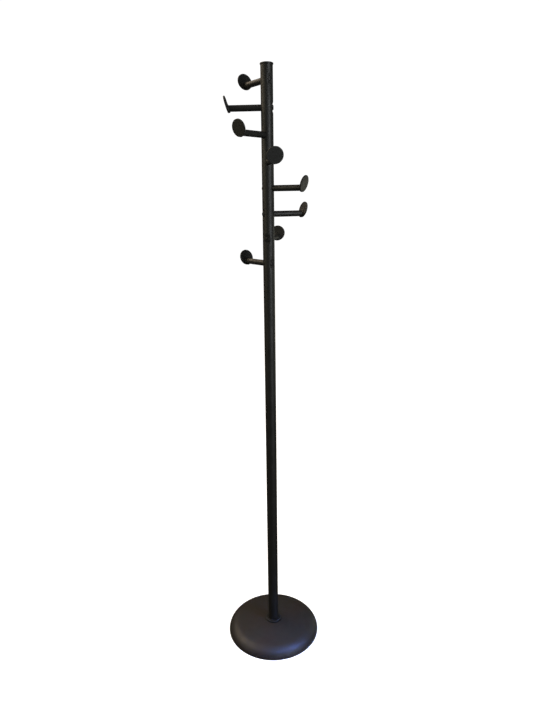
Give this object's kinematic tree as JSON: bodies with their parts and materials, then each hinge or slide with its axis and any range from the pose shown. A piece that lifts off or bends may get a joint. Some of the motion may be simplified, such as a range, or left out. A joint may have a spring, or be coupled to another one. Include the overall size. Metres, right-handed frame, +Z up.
{
  "type": "standing coat rack",
  "caption": "Tall tubular post on a weighted round base, with disc-ended pegs winding down the upper part in a spiral for hanging coats.",
  "frame": {"origin": "on the floor, on the post's axis, at the centre of the base's underside", "axes": "+Z up along the post, -Y towards the front, +X to the right seen from the front"},
  "size_m": [0.29, 0.29, 1.7],
  "materials": {
    "black_powder_coat": "satin black powder coat with a fine orange-peel texture",
    "brown_powder_coat": "satin brown-black powder coat with a fine texture",
    "black_screw": "black oxide, slightly shiny",
    "black_plastic": "satin moulded plastic",
    "black_rubber": "matt",
    "cast_iron": "as cast",
    "zinc_plate": "bright zinc plate"
  },
  "bodies": {
    "root": {"foot_pad_1": "black_rubber", "foot_pad_2": "black_rubber", "foot_pad_3": "black_rubber", "foot_pad_4": "black_rubber", "foot_pad_5": "black_rubber", "foot_pad_6": "black_rubber", "base_bottom_plate": "zinc_plate", "foot_bush": "zinc_plate", "base_bolt": "zinc_plate", "base_bolt_washer": "zinc_plate", "lower_joint_bush_below": "zinc_plate", "lower_joint_bush_above": "zinc_plate", "lower_joint_stud": "zinc_plate", "upper_joint_bush_below": "zinc_plate", "upper_joint_bush_above": "zinc_plate", "upper_joint_stud": "zinc_plate", "base_weight": "cast_iron", "base_cover": "brown_powder_coat", "post_collar": "black_powder_coat", "post_tube_lower": "black_powder_coat", "post_tube_middle": "black_powder_coat", "post_tube_upper": "black_powder_coat", "peg_1_rod": "black_powder_coat", "peg_2_rod": "black_powder_coat", "peg_3_rod": "black_powder_coat", "peg_4_rod": "black_powder_coat", "peg_5_rod": "black_powder_coat", "peg_6_rod": "black_powder_coat", "peg_7_rod": "black_powder_coat", "peg_8_rod": "black_powder_coat", "peg_1_disc": "black_powder_coat", "peg_2_disc": "black_powder_coat", "peg_3_disc": "black_powder_coat", "peg_4_disc": "black_powder_coat", "peg_5_disc": "black_powder_coat", "peg_6_disc": "black_powder_coat", "peg_7_disc": "black_powder_coat", "peg_8_disc": "black_powder_coat", "peg_1_screw": "black_screw", "peg_2_screw": "black_screw", "peg_3_screw": "black_screw", "peg_4_screw": "black_screw", "peg_5_screw": "black_screw", "peg_6_screw": "black_screw", "peg_7_screw": "black_screw", "peg_8_screw": "black_screw", "top_cap": "black_plastic"}
  },
  "joints": []
}
